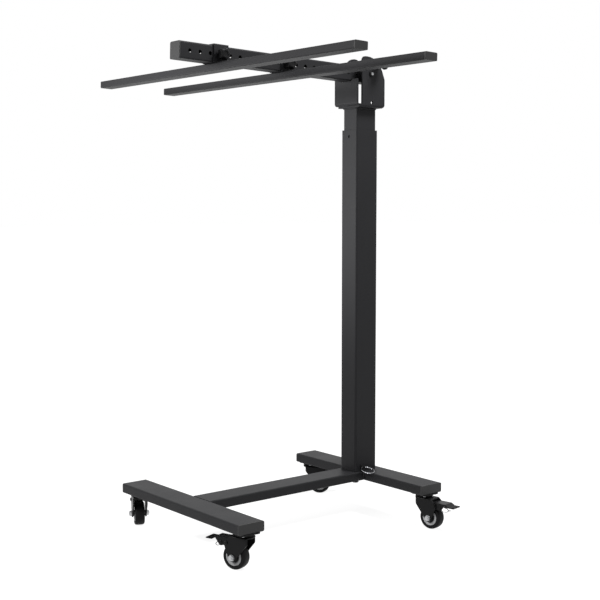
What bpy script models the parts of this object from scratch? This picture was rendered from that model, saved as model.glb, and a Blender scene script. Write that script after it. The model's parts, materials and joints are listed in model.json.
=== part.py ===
"""Rolling light stand with a telescopic column and a level arm that carries two fixture bars.

The stand rolls on four braked swivel castors under an H-shaped base of flat tubes. A square
column stands on the rear crossbar, and its inner tube slides up. The bracket on the inner tube
holds the arm on a pin, and two saddle clamps slide along the arm with a bar under each.

Metres, Z up. X runs along the fixture bars, and the arm points towards -Y.
"""

import bmesh
import bpy
from math import cos, pi, radians, sin, tan
from mathutils import Matrix, Vector

# Clearances
GAP = 0.0003            # between any two pieces that touch
SLIDE_GAP = 0.0003      # round each sliding tube

# Base
BASE_WIDTH = 0.060      # flat tube, lying
BASE_HEIGHT = 0.020
BASE_WALL = 0.0015
BASE_RADIUS = 0.003
CROSSBAR_LENGTH = 0.420
FRONT_REACH = 0.455     # column axis to the middle of the front crossbar
REAR_REACH = 0.020      # column axis to the middle of the rear crossbar
END_CAP = 0.003
CAP_PLUG = 0.012
CASTOR_INSET = 0.020    # crossbar end to the swivel axis

# Castors
WHEEL_RADIUS = 0.025
TYRE_WIDTH = 0.021
TYRE_DEPTH = 0.0077
TYRE_CLEARANCE = 0.0114 # tyre to the head of the kingpin
TRAIL = 0.020
PLATE_SIZE = 0.044
PLATE_THICK = 0.0025
RACE_RADIUS = 0.018
RACE_HEIGHT = 0.0052
FORK_SHEET = 0.0025
FORK_INSIDE = 0.0132    # half the width between the legs
FORK_BEND = 0.004
KINGPIN_RADIUS = 0.005
KINGPIN_HEAD = 0.008
KINGPIN_HEAD_HEIGHT = 0.0025
AXLE_RADIUS = 0.003
AXLE_NUT = 0.010
PEDAL_PIVOT = (0.033, 0.0525)
PEDAL_RISE = 0.0075     # pedal's pin to the top of its plate
PEDAL_TIP = 0.082
PEDAL_SHEET = 0.002
PEDAL_PIN = 0.0025      # radius
SHOE_GAP = 0.0028       # brake shoe to the tyre
SHOE_ANGLE = radians(47)
CASTOR_HEIGHT = (2 * WHEEL_RADIUS + TYRE_CLEARANCE + KINGPIN_HEAD_HEIGHT + GAP + FORK_SHEET + GAP
                 + RACE_HEIGHT + PLATE_THICK)
HEADINGS = {"front_left": 154, "front_right": 200, "rear_left": 51, "rear_right": 10}

# Column
OUTER_DEPTH = 0.062     # along Y
OUTER_WIDTH = 0.050     # along X
OUTER_RADIUS = 0.004
OUTER_WALL = 0.0015
OUTER_LENGTH = 0.7537
INNER_DEPTH = 0.056
INNER_WIDTH = 0.0435
INNER_RADIUS = 0.003
INNER_WALL = 0.0015
INNER_LENGTH = 0.450
INNER_OUT = 0.0474      # inner tube above the outer one, lowered
COLLAR_LENGTH = 0.040
GLIDE_LENGTH = 0.008
FOOT_HEIGHT = 0.060
FOOT_FLOOR = 0.014
FOOT_WALL = 0.004
FOOT_BOLT = 0.004       # radius
FOOT_BOLT_HEAD = 0.013
FOOT_BOLT_PLACE = (0.014, 0.021)
LOCK_PIN_Z = 0.010      # above the base
LOCK_PIN_Y = -0.013
LOCK_PIN_RADIUS = 0.0025
RING_RADIUS = 0.0145
RING_WIRE = 0.001

# Arm
ARM_WIDTH = 0.034
ARM_HEIGHT = 0.034
ARM_WALL = 0.002
ARM_RADIUS = 0.003
ARM_FRONT = 0.480
ARM_TAIL = 0.022
ARM_TILT = radians(1.9)
HOLE_PITCH = 0.024
HOLE_COUNT = 19
HOLE_RADIUS = 0.004
FRONT_CLAMP_HOLE = 16
REAR_CLAMP_HOLE = 9

# Bracket on the inner tube
SHEET = 0.004
BEND = 0.006
BRACKET_HALF = 0.0375   # half the width over the bracket
FLANGE_Y = 0.041        # column axis to the front of the stop flange
FLANGE_SEAT = 0.0045    # depth of the arm's seat in the flange
FLANGE_INSET = 0.001    # flange's ends inside the bracket's width
FLANGE_FOOT = 0.012     # length of its foot on the floor plate
EAR_FRONT = 0.0262
EAR_BACK = 0.0392
EAR_RISE = 0.0368       # pivot to the top of the ears
EAR_NOSE = 0.009        # radius of the tall ear's front corner
EAR_CROWN = 0.0475      # radius of its sloping top
EAR_CROWN_Y = -0.012
EAR_LEAN = radians(22)  # upper part of its back edge
EAR_CORNER = 0.008
FAR_EAR_BACK = 0.012
EAR_HOLE = (0.002, 0.0108)
EAR_HOLE_RADIUS = 0.0033
PIVOT_HEIGHT = 0.072    # above the underside of the bracket
PIVOT_RADIUS = 0.004
SPACER_RADIUS = 0.012
CLAMP_BOLT_RADIUS = 0.003
CLAMP_BOLT_Y = 0.016
CLAMP_BOLT_ABOVE = 0.0012   # clear height between the arm and the clamp bolt
CLAMP_BOLT_UP = ARM_HEIGHT / 2 + CLAMP_BOLT_ABOVE + CLAMP_BOLT_RADIUS

# Saddle clamps, their knobs and the fixture bars
CLAMP_LENGTH = 0.034
CLAMP_SHEET = 0.0025
CLAMP_BEND = 0.0015
BAR_LENGTH = 0.864
BAR_DEPTH = 0.030
BAR_HEIGHT = 0.015
BAR_WALL = 0.0015
BAR_RADIUS = 0.002
KNOB_RADIUS = 0.013
KNOB_LOBES = 5
KNOB_POINTS = 25
KNOB_THICK = 0.013
KNOB_WAIST = 0.0075     # radius of the stem under the head
CLAMP_KNOB_STEM = 0.003
TILT_KNOB_STEM = 0.016
KNOB_SCREW = 0.004

BASE_TOP = CASTOR_HEIGHT + GAP + BASE_HEIGHT
BASE_UNDER = CASTOR_HEIGHT + GAP
OUTER_FOOT = BASE_TOP + GAP
OUTER_TOP = OUTER_FOOT + OUTER_LENGTH
INNER_TOP = OUTER_TOP + INNER_OUT
BRACKET_UNDER = INNER_TOP + GAP
PIVOT_Z = BRACKET_UNDER + PIVOT_HEIGHT


def remove_everything():
    for ob in list(bpy.data.objects):
        bpy.data.objects.remove(ob, do_unlink=True)


def finish(name, colour, roughness, metallic):
    """One Principled material, its colour written as linear RGB."""
    mat = bpy.data.materials.new(name)
    mat.use_nodes = True
    shader = mat.node_tree.nodes["Principled BSDF"]
    shader.inputs["Base Color"].default_value = (*colour, 1.0)
    shader.inputs["Roughness"].default_value = roughness
    shader.inputs["Metallic"].default_value = metallic
    return mat


# Outlines are closed lists of (u, v) points, counter-clockwise.

def rounded_rect(width, height, radius, steps=3):
    points = []
    for cx, cy, start in ((1, 1, 0), (-1, 1, 90), (-1, -1, 180), (1, -1, 270)):
        for i in range(steps + 1):
            a = radians(start + 90 * i / steps)
            u = cx * (width / 2 - radius) + radius * cos(a)
            v = cy * (height / 2 - radius) + radius * sin(a)
            points.append((u, v))
    return points


def circle(radius, steps=12):
    return [(radius * cos(2 * pi * i / steps), radius * sin(2 * pi * i / steps)) for i in range(steps)]


def hexagon(across, steps=12):
    """A hexagon with as many points as the circle it is lofted to."""
    points = []
    for i in range(steps):
        a = 2 * pi * i / steps
        r = across / 2 / cos((a + pi / 6) % (pi / 3) - pi / 6)
        points.append((r * cos(a), r * sin(a)))
    return points


def star(radius, lobes, steps, hollow=0.24):
    """A star knob's outline: the radius falls by the hollow's share between one lobe and the next."""
    points = []
    for i in range(steps):
        a = 2 * pi * i / steps
        r = radius * (1 - hollow / 2 + hollow / 2 * cos(lobes * a))
        points.append((r * cos(a), r * sin(a)))
    return points


def moved(outline, du, dv):
    return [(u + du, v + dv) for u, v in outline]


def arc(cu, cv, radius, start, end, steps=5):
    """Points round a corner, angles in degrees."""
    points = []
    for i in range(steps + 1):
        a = radians(start + (end - start) * i / steps)
        points.append((cu + radius * cos(a), cv + radius * sin(a)))
    return points


def place(outline, along, axis):
    """Stand an outline up at a distance along an axis."""
    if axis == "X":
        return [Vector((along, u, v)) for u, v in outline]
    if axis == "Y":
        return [Vector((u, along, v)) for u, v in outline]
    return [Vector((u, v, along)) for u, v in outline]


def loft(loops, closed=False):
    """Skin equal loops in turn, and cap the two ends, or join the last to the first."""
    bm = bmesh.new()
    rings = [[bm.verts.new(p) for p in loop] for loop in loops]
    n = len(rings[0])
    pairs = list(zip(rings, rings[1:]))
    if closed:
        pairs.append((rings[-1], rings[0]))
    for low, high in pairs:
        for i in range(n):
            j = (i + 1) % n
            bm.faces.new((low[i], low[j], high[j], high[i]))
    if not closed:
        bm.faces.new(rings[0])
        bm.faces.new(rings[-1])
    bmesh.ops.recalc_face_normals(bm, faces=bm.faces)
    return bm


def prism(outline, start, end, axis):
    return loft([place(outline, start, axis), place(outline, end, axis)])


def stepped(sections, axis):
    """A solid whose outline changes along an axis, from (distance, outline) pairs."""
    return loft([place(outline, along, axis) for along, outline in sections])


def tube(outer, inner, start, end, axis):
    """A straight pipe: round the outside, over the end, and back through the bore."""
    outside = [place(outer, start, axis), place(outer, end, axis)]
    inside = [place(inner, end, axis), place(inner, start, axis)]
    return loft(outside + inside, closed=True)


def lathe(profile, axis, steps=24):
    """Turn a closed (radius, distance) profile about an axis."""
    bm = bmesh.new()
    spin = []
    for i in range(steps):
        a = 2 * pi * i / steps
        ring = []
        for r, along in profile:
            ring.append(bm.verts.new(place([(r * cos(a), r * sin(a))], along, axis)[0]))
        spin.append(ring)
    n = len(profile)
    for i in range(steps):
        here = spin[i]
        there = spin[(i + 1) % steps]
        for k in range(n):
            m = (k + 1) % n
            bm.faces.new((here[k], here[m], there[m], there[k]))
    bmesh.ops.recalc_face_normals(bm, faces=bm.faces)
    return bm


def torus(centre, tilt, radius, wire, steps=24, around=6):
    """A closed wire ring about Z, leaned about the Y axis."""
    turn = Matrix.Rotation(tilt, 3, "Y")
    loops = []
    for i in range(steps):
        a = 2 * pi * i / steps
        loop = []
        for k in range(around):
            b = 2 * pi * k / around
            r = radius + wire * cos(b)
            loop.append(turn @ Vector((r * cos(a), r * sin(a), wire * sin(b))) + Vector(centre))
        loops.append(loop)
    return loft(loops, closed=True)


def put(bm, *offset):
    bmesh.ops.translate(bm, verts=bm.verts, vec=offset)
    return bm


def merged(*meshes):
    """Several separate cutter bodies in one mesh."""
    whole = bmesh.new()
    for bm in meshes:
        mesh = bpy.data.meshes.new("part")
        bm.to_mesh(mesh)
        bm.free()
        whole.from_mesh(mesh)
        bpy.data.meshes.remove(mesh)
    return whole


def empty(name, parent, location=(0, 0, 0), turn=(0, 0, 0)):
    ob = bpy.data.objects.new(name, None)
    bpy.context.scene.collection.objects.link(ob)
    ob.parent = parent
    ob.location = location
    ob.rotation_euler = turn
    return ob


def piece(name, bm, mat, parent, origin=(0, 0, 0)):
    """One named solid, its mesh given in its parent's space and its origin set on the joint axis."""
    put(bm, *(-Vector(origin)))
    mesh = bpy.data.meshes.new(name)
    bm.to_mesh(mesh)
    bm.free()
    ob = bpy.data.objects.new(name, mesh)
    bpy.context.scene.collection.objects.link(ob)
    ob.parent = parent
    ob.location = origin
    if mat:
        mesh.materials.append(mat)
    return ob


def shape(ob, operation, bm, origin=(0, 0, 0)):
    """Cut, join or trim a piece with a hidden tool body in the same space."""
    tool = piece(ob.name + "_tool", bm, None, ob.parent, origin)
    tool.hide_render = True
    tool.display_type = "WIRE"
    step = ob.modifiers.new(operation.lower(), "BOOLEAN")
    step.operation = operation
    step.solver = "EXACT"
    step.object = tool
    return ob


def rod(radius, start, end, axis, at=(0, 0), steps=12):
    """A round bar or hole along an axis, at (u, v) across it."""
    return prism(moved(circle(radius, steps), *at), start, end, axis)


remove_everything()

black_paint = finish("black powder coat", (0.021, 0.021, 0.022), 0.42, 0.0)
black_plastic = finish("black moulded plastic", (0.012, 0.012, 0.012), 0.5, 0.0)
dark_steel = finish("blackened steel", (0.02, 0.02, 0.021), 0.35, 0.8)
zinc = finish("bright zinc", (0.6, 0.6, 0.6), 0.3, 1.0)
chrome = finish("chromed wire", (0.75, 0.75, 0.76), 0.12, 1.0)
grey_plastic = finish("light grey plastic", (0.5, 0.5, 0.51), 0.45, 0.0)
tread = finish("black tyre", (0.018, 0.018, 0.018), 0.7, 0.0)
bush_plastic = finish("grey bush plastic", (0.05, 0.05, 0.05), 0.5, 0.0)

stand = empty("stand", None)


# The base: two crossbars and the beam between them, all flat tube with flush plugs in the open ends.

def flat_tube(width, height, radius, wall):
    outer = rounded_rect(width, height, radius)
    inner = rounded_rect(width - 2 * wall, height - 2 * wall, radius - wall / 2)
    return outer, inner


base_z = BASE_UNDER + BASE_HEIGHT / 2
cross_outer, cross_inner = flat_tube(BASE_WIDTH, BASE_HEIGHT, BASE_RADIUS, BASE_WALL)
cross_plug = rounded_rect(BASE_WIDTH - 2 * BASE_WALL - 2 * GAP, BASE_HEIGHT - 2 * BASE_WALL - 2 * GAP,
                          BASE_RADIUS - BASE_WALL / 2)
tube_half = CROSSBAR_LENGTH / 2 - END_CAP - GAP
foot_bolts = [(side * FOOT_BOLT_PLACE[0], -FOOT_BOLT_PLACE[1]) for side in (-1, 1)]

for label, y in (("front", -FRONT_REACH), ("rear", REAR_REACH)):
    body = tube(moved(cross_outer, y, base_z), moved(cross_inner, y, base_z), -tube_half, tube_half, "X")
    piece(label + "_crossbar", body, black_paint, stand)
    for side, end in (("left", -1), ("right", 1)):
        tip = end * CROSSBAR_LENGTH / 2
        sections = [
            (tip, moved(cross_outer, y, base_z)),
            (tip - end * END_CAP, moved(cross_outer, y, base_z)),
            (tip - end * END_CAP, moved(cross_plug, y, base_z)),
            (tip - end * (END_CAP + CAP_PLUG), moved(cross_plug, y, base_z)),
        ]
        piece(label + "_" + side + "_base_cap", stepped(sections, "X"), black_plastic, stand)

beam_front = -FRONT_REACH + BASE_WIDTH / 2 + GAP
beam_back = REAR_REACH - BASE_WIDTH / 2 - GAP
beam = tube(moved(cross_outer, 0, base_z), moved(cross_inner, 0, base_z), beam_front, beam_back, "Y")
beam = piece("centre_beam", beam, black_paint, stand)
bolt_holes = [rod(FOOT_BOLT + GAP, BASE_UNDER - 0.01, BASE_TOP + 0.01, "Z", at) for at in foot_bolts]
shape(beam, "DIFFERENCE", merged(*bolt_holes))


# Column foot: a cup bolted to the base from below, over which the outer tube stands.

bore_depth = OUTER_DEPTH - 2 * OUTER_WALL
bore_width = OUTER_WIDTH - 2 * OUTER_WALL
bore = rounded_rect(bore_width, bore_depth, OUTER_RADIUS - OUTER_WALL / 2)
foot_line = rounded_rect(bore_width - 2 * GAP, bore_depth - 2 * GAP, OUTER_RADIUS - OUTER_WALL / 2)
foot_hollow = rounded_rect(bore_width - 2 * GAP - 2 * FOOT_WALL, bore_depth - 2 * GAP - 2 * FOOT_WALL, 0.002)
foot = piece("column_foot", prism(foot_line, OUTER_FOOT, OUTER_FOOT + FOOT_HEIGHT, "Z"), dark_steel, stand)
foot_cup = prism(foot_hollow, OUTER_FOOT + FOOT_FLOOR, OUTER_FOOT + FOOT_HEIGHT + 0.01, "Z")
bolt_end = OUTER_FOOT + FOOT_FLOOR - 0.002
shape(foot, "DIFFERENCE", foot_cup)
floor_above = OUTER_FOOT + FOOT_FLOOR + 0.002
holes = [rod(FOOT_BOLT + GAP, OUTER_FOOT - 0.01, floor_above, "Z", at) for at in foot_bolts]
shape(foot, "DIFFERENCE", merged(*holes))
pin_z = BASE_TOP + LOCK_PIN_Z
pin_in = bore_width / 2 - FOOT_WALL - 0.004
shape(foot, "DIFFERENCE", rod(LOCK_PIN_RADIUS + GAP, pin_in - 0.001, OUTER_WIDTH, "X", (LOCK_PIN_Y, pin_z)))

for label, at in (("left", foot_bolts[0]), ("right", foot_bolts[1])):
    head = BASE_UNDER - GAP
    sections = [
        (head - 0.0053, moved(hexagon(FOOT_BOLT_HEAD - 0.001), *at)),
        (head - 0.0048, moved(hexagon(FOOT_BOLT_HEAD), *at)),
        (head, moved(hexagon(FOOT_BOLT_HEAD), *at)),
        (head, moved(circle(FOOT_BOLT), *at)),
        (bolt_end - 0.0005, moved(circle(FOOT_BOLT), *at)),
        (bolt_end, moved(circle(FOOT_BOLT - 0.0005), *at)),
    ]
    piece("foot_bolt_" + label, stepped(sections, "Z"), dark_steel, stand)

outer_line = rounded_rect(OUTER_WIDTH, OUTER_DEPTH, OUTER_RADIUS)
outer = piece("outer_column", tube(outer_line, bore, OUTER_FOOT, OUTER_TOP, "Z"), black_paint, stand)
pin_hole = rod(LOCK_PIN_RADIUS + GAP, OUTER_WIDTH / 2 - 0.01, OUTER_WIDTH, "X", (LOCK_PIN_Y, pin_z))
shape(outer, "DIFFERENCE", pin_hole)

screw_z = OUTER_TOP - 0.014
screw_radius = 0.003
screw_hole = rod(screw_radius + GAP, -OUTER_DEPTH, -INNER_DEPTH / 2 + 0.0001, "Y", (0.0, screw_z))
shape(outer, "DIFFERENCE", screw_hole)

collar_outer = rounded_rect(bore_width - 2 * GAP, bore_depth - 2 * GAP, OUTER_RADIUS - OUTER_WALL / 2)
slide_width = INNER_WIDTH + 2 * SLIDE_GAP
slide_depth = INNER_DEPTH + 2 * SLIDE_GAP
collar_inner = rounded_rect(slide_width, slide_depth, INNER_RADIUS + SLIDE_GAP)
collar = tube(collar_outer, collar_inner, OUTER_TOP - COLLAR_LENGTH, OUTER_TOP, "Z")
collar = piece("guide_collar", collar, bush_plastic, stand)
screw_hole = rod(screw_radius + GAP, -OUTER_DEPTH, -INNER_DEPTH / 2 + 0.0001, "Y", (0.0, screw_z))
shape(collar, "DIFFERENCE", screw_hole)

screw_face = -OUTER_DEPTH / 2 + 0.0005
screw_tip = -INNER_DEPTH / 2 - GAP
screw = stepped([
    (screw_tip, moved(circle(screw_radius - 0.0004), 0.0, screw_z)),
    (screw_tip - 0.0004, moved(circle(screw_radius), 0.0, screw_z)),
    (screw_face + 0.0003, moved(circle(screw_radius), 0.0, screw_z)),
    (screw_face, moved(circle(screw_radius - 0.0003), 0.0, screw_z)),
], "Y")
screw = piece("height_lock_screw", screw, dark_steel, stand)
socket = prism(moved(hexagon(0.003), 0.0, screw_z), screw_face - 0.001, screw_face + 0.0012, "Y")
shape(screw, "DIFFERENCE", socket)


# Lock pin and its pull ring, in the side of the column just above the base.

pin = empty("lock_pin_slide", stand)
pin_head = OUTER_WIDTH / 2 + GAP
eye_x = pin_head + 0.0068
lock_pin = stepped([
    (pin_in, moved(circle(LOCK_PIN_RADIUS - 0.0008), LOCK_PIN_Y, pin_z)),
    (pin_in + 0.0012, moved(circle(LOCK_PIN_RADIUS), LOCK_PIN_Y, pin_z)),
    (pin_head, moved(circle(LOCK_PIN_RADIUS), LOCK_PIN_Y, pin_z)),
    (pin_head, moved(circle(0.0045), LOCK_PIN_Y, pin_z)),
    (pin_head + 0.003, moved(circle(0.0045), LOCK_PIN_Y, pin_z)),
    (pin_head + 0.0035, moved(circle(0.003), LOCK_PIN_Y, pin_z)),
    (pin_head + 0.0098, moved(circle(0.003), LOCK_PIN_Y, pin_z)),
    (pin_head + 0.0105, moved(circle(0.0022), LOCK_PIN_Y, pin_z)),
], "X")
lock_pin = piece("lock_pin", lock_pin, zinc, pin, (pin_head, LOCK_PIN_Y, pin_z))
ring_lean = radians(16)
ring_centre = (eye_x + RING_RADIUS * cos(ring_lean), LOCK_PIN_Y, pin_z - RING_RADIUS * sin(ring_lean))
eye = rod(RING_WIRE + GAP + 0.0002, -0.01, 0.01, "Y", (0.0, 0.0))
shape(lock_pin, "DIFFERENCE", put(eye, eye_x, LOCK_PIN_Y, pin_z))
ring = torus(ring_centre, ring_lean, RING_RADIUS, RING_WIRE)
piece("pull_ring", ring, chrome, pin, (eye_x, LOCK_PIN_Y, pin_z))


# Sliding inner tube, with a glide on its lower end.

lift = empty("lift", stand, (0, 0, OUTER_TOP))
inner_line = rounded_rect(INNER_WIDTH, INNER_DEPTH, INNER_RADIUS)
inner_width = INNER_WIDTH - 2 * INNER_WALL
inner_depth = INNER_DEPTH - 2 * INNER_WALL
inner_corner = INNER_RADIUS - INNER_WALL / 2
inner_bore = rounded_rect(inner_width, inner_depth, inner_corner)
top = INNER_TOP - OUTER_TOP
bottom = top - INNER_LENGTH
piece("inner_column", tube(inner_line, inner_bore, bottom, top, "Z"), black_paint, lift)
plug_line = rounded_rect(inner_width - 2 * GAP, inner_depth - 2 * GAP, inner_corner)
glide_width = bore_width - 2 * SLIDE_GAP
glide_depth = bore_depth - 2 * SLIDE_GAP
glide_line = rounded_rect(glide_width, glide_depth, OUTER_RADIUS - OUTER_WALL / 2)
glide = stepped([
    (bottom - GAP - GLIDE_LENGTH, glide_line),
    (bottom - GAP, glide_line),
    (bottom - GAP, plug_line),
    (bottom + 0.018, plug_line),
], "Z")
piece("lower_glide", glide, bush_plastic, lift)


# Bracket: a floor plate bent up into a tall ear at the right, a stop flange standing on it in front with a
# seat for the arm in its top edge, and a second ear welded on beside the arm.

under = BRACKET_UNDER - OUTER_TOP
pivot_up = PIVOT_Z - OUTER_TOP
half = BRACKET_HALF
arm_half = ARM_WIDTH / 2
ears_top = pivot_up + EAR_RISE
floor_top = under + SHEET
floor_front = -FLANGE_Y + 2 * SHEET
seat_z = pivot_up + (FLANGE_Y - SHEET) * tan(ARM_TILT) - ARM_HEIGHT / 2 / cos(ARM_TILT) - GAP
flange_top = seat_z + FLANGE_SEAT
weld = 0.0002           # how deep a welded plate is sunk into the next

floor_and_ear = (
    [(-half + SHEET, under)]
    + arc(half - BEND, under + BEND, BEND, 270, 360)
    + [(half, ears_top), (half - SHEET, ears_top)]
    + arc(half - BEND, under + BEND, BEND - SHEET, 360, 270)
    + [(-half + SHEET, floor_top)]
)
bracket = piece("tilt_bracket", prism(floor_and_ear, floor_front, EAR_BACK, "Y"), black_paint, lift)

# Seen from the right: a round lower corner, an upright back edge that leans forward higher up, a sloping
# crown, and an upright front edge. The floor plate runs on to the front.
crown_z = ears_top - EAR_CROWN
lean_y = EAR_CROWN_Y + EAR_CROWN * cos(EAR_LEAN)
lean_z = crown_z + EAR_CROWN * sin(EAR_LEAN)
right_view = (
    [(floor_front, under - 0.001)]
    + arc(EAR_BACK - EAR_CORNER, under + EAR_CORNER - 0.001, EAR_CORNER, 270, 360)
    + [(EAR_BACK, lean_z - (EAR_BACK - lean_y) / tan(EAR_LEAN))]
    + arc(EAR_CROWN_Y, crown_z, EAR_CROWN, 22, 90, 7)
    + arc(-EAR_FRONT + EAR_NOSE, ears_top - EAR_NOSE, EAR_NOSE, 90, 180)
    + [(-EAR_FRONT, under + BEND + 0.001), (floor_front, under + BEND + 0.001)]
)
shape(bracket, "INTERSECT", prism(right_view, -half - 0.01, half + 0.01, "X"))

foot_z = floor_top - weld
flange = (
    [(-FLANGE_Y + FLANGE_FOOT, foot_z), (-FLANGE_Y + FLANGE_FOOT, foot_z + SHEET)]
    + arc(-FLANGE_Y + BEND, foot_z + BEND, BEND - SHEET, 270, 180)
    + [(-FLANGE_Y + SHEET, flange_top), (-FLANGE_Y, flange_top)]
    + arc(-FLANGE_Y + BEND, foot_z + BEND, BEND, 180, 270)
)
flange = prism(flange, -half + FLANGE_INSET, half - FLANGE_INSET, "X")
shape(bracket, "UNION", flange)
seat = rounded_rect(ARM_WIDTH + 0.001, 2 * (flange_top - seat_z), 0.001)
seat = prism(moved(seat, 0.0, flange_top), -FLANGE_Y - 0.01, -FLANGE_Y + SHEET + 0.001, "Y")
shape(bracket, "DIFFERENCE", seat)

far_in = -arm_half - GAP
far_ear = (
    [(-EAR_FRONT, floor_top - weld), (FAR_EAR_BACK, floor_top - weld), (FAR_EAR_BACK, ears_top - EAR_FRONT)]
    + arc(0.0, ears_top - EAR_FRONT, EAR_FRONT, 0, 180, 12)
)
shape(bracket, "UNION", prism(far_ear, far_in - SHEET, far_in, "X"))
bolt_up = pivot_up + CLAMP_BOLT_UP
holes = [
    rod(PIVOT_RADIUS + GAP, -0.1, 0.1, "X", (0.0, pivot_up)),
    rod(CLAMP_BOLT_RADIUS + GAP, -0.1, 0.1, "X", (CLAMP_BOLT_Y, bolt_up)),
    rod(EAR_HOLE_RADIUS, 0.0, 0.1, "X", (EAR_HOLE[0], under + EAR_HOLE[1])),
]
shape(bracket, "DIFFERENCE", merged(*holes))

head_out = half + GAP
far_out = far_in - SHEET - GAP
pin_head = 0.0065
pivot_pin = stepped([
    (far_out - 0.0035, moved(circle(PIVOT_RADIUS), 0.0, pivot_up)),
    (far_out - 0.0025, moved(circle(pin_head), 0.0, pivot_up)),
    (far_out, moved(circle(pin_head), 0.0, pivot_up)),
    (far_out, moved(circle(PIVOT_RADIUS), 0.0, pivot_up)),
    (head_out, moved(circle(PIVOT_RADIUS), 0.0, pivot_up)),
    (head_out, moved(circle(pin_head), 0.0, pivot_up)),
    (head_out + 0.002, moved(circle(pin_head - 0.0005), 0.0, pivot_up)),
    (head_out + 0.0032, moved(circle(pin_head / 2), 0.0, pivot_up)),
], "X")
piece("pivot_pin", pivot_pin, zinc, lift)

spacer_from = arm_half + GAP
spacer_to = half - SHEET - GAP
spacer_line = moved(circle(SPACER_RADIUS), 0.0, pivot_up)
bush = tube(spacer_line, moved(circle(PIVOT_RADIUS + GAP), 0.0, pivot_up), spacer_from, spacer_to, "X")
piece("arm_spacer", bush, black_plastic, lift)


# Star knobs: a moulded head on a stem, used three times.

def knob_head(face, stem):
    """Sections along +X from the face that the stem stands on."""
    head = face + stem
    lobes = [
        (0.0015, 0.90), (0.0035, 1.0), (KNOB_THICK - 0.0035, 1.0), (KNOB_THICK - 0.0013, 0.92),
        (KNOB_THICK - 0.0005, 0.80),
    ]
    sections = [(face, circle(KNOB_WAIST, KNOB_POINTS)), (head, circle(KNOB_WAIST, KNOB_POINTS))]
    for along, share in lobes:
        sections.append((head + along, star(KNOB_RADIUS * share, KNOB_LOBES, KNOB_POINTS)))
    sections.append((head + KNOB_THICK, circle(KNOB_RADIUS * 0.4, KNOB_POINTS)))
    return sections


def clamp_knob(face):
    """A screw from the joint's origin up to the face, and the head on it."""
    screw = circle(KNOB_SCREW, KNOB_POINTS)
    sections = [(0.0, circle(KNOB_SCREW - 0.0008, KNOB_POINTS)), (0.0008, screw), (face, screw)]
    return stepped(sections + knob_head(face, CLAMP_KNOB_STEM), "X")


bolt_at = (CLAMP_BOLT_Y, bolt_up)
nut_out = far_out - 0.005
bolt_in_knob = 0.008
clamp_bolt = stepped([
    (nut_out, moved(hexagon(0.009), *bolt_at)),
    (nut_out + 0.0005, moved(hexagon(0.010), *bolt_at)),
    (far_out, moved(hexagon(0.010), *bolt_at)),
    (far_out, moved(circle(CLAMP_BOLT_RADIUS), *bolt_at)),
    (half + bolt_in_knob, moved(circle(CLAMP_BOLT_RADIUS), *bolt_at)),
], "X")
piece("clamp_bolt", clamp_bolt, dark_steel, lift)
tilt_turn = empty("tilt_knob_turn", lift, (half, *bolt_at))
tilt_knob = piece("tilt_knob", stepped(knob_head(GAP, TILT_KNOB_STEM), "X"), black_plastic, tilt_turn)
shape(tilt_knob, "DIFFERENCE", rod(CLAMP_BOLT_RADIUS + GAP, -0.01, bolt_in_knob + GAP, "X"))


# The arm: a tube on the pivot pin, its row of holes in line with the pin. It is built level and its
# parent leans it to the angle at which it rests on the flange.

arm_pivot = empty("arm_pivot", lift, (0, 0, pivot_up), (-ARM_TILT, 0, 0))
arm_outer = rounded_rect(ARM_WIDTH, ARM_HEIGHT, ARM_RADIUS)
arm_inner = rounded_rect(ARM_WIDTH - 2 * ARM_WALL, ARM_HEIGHT - 2 * ARM_WALL, ARM_RADIUS - ARM_WALL / 2)
arm_end = -ARM_FRONT + END_CAP + GAP
arm = piece("arm", tube(arm_outer, arm_inner, arm_end, ARM_TAIL, "Y"), black_paint, arm_pivot)
cuts = [rod(PIVOT_RADIUS + GAP, -0.05, 0.05, "X")]
for k in range(1, HOLE_COUNT + 1):
    cuts.append(rod(HOLE_RADIUS, -0.05, 0.05, "X", (-k * HOLE_PITCH, 0.0), 10))
shape(arm, "DIFFERENCE", merged(*cuts))
arm_plug = rounded_rect(ARM_WIDTH - 2 * ARM_WALL - 2 * GAP, ARM_HEIGHT - 2 * ARM_WALL - 2 * GAP,
                        ARM_RADIUS - ARM_WALL / 2)
arm_cap = stepped([
    (-ARM_FRONT, rounded_rect(ARM_WIDTH - 0.001, ARM_HEIGHT - 0.001, ARM_RADIUS)),
    (-ARM_FRONT + 0.0005, arm_outer),
    (-ARM_FRONT + END_CAP, arm_outer),
    (-ARM_FRONT + END_CAP, arm_plug),
    (-ARM_FRONT + END_CAP + CAP_PLUG, arm_plug),
], "Y")
piece("arm_cap", arm_cap, black_plastic, arm_pivot)


# Saddle clamps: a folded strap over the arm, welded to the bar that runs under the arm. A knob's screw
# presses on the side of the arm.

def saddle(name, parent):
    inside = arm_half + SLIDE_GAP
    outside = inside + CLAMP_SHEET
    roof = ARM_HEIGHT / 2 + SLIDE_GAP
    ridge = roof + CLAMP_SHEET
    low = -ARM_HEIGHT / 2
    strap = (
        [(-outside, low), (-inside, low), (-inside, roof), (inside, roof), (inside, low), (outside, low)]
        + arc(outside - CLAMP_BEND, ridge - CLAMP_BEND, CLAMP_BEND, 0, 90, 3)
        + arc(-outside + CLAMP_BEND, ridge - CLAMP_BEND, CLAMP_BEND, 90, 180, 3)
    )
    body = piece(name, prism(strap, -CLAMP_LENGTH / 2, CLAMP_LENGTH / 2, "Y"), black_paint, parent)
    shape(body, "DIFFERENCE", rod(KNOB_SCREW + GAP, 0.0, 0.05, "X"))
    return body


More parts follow.
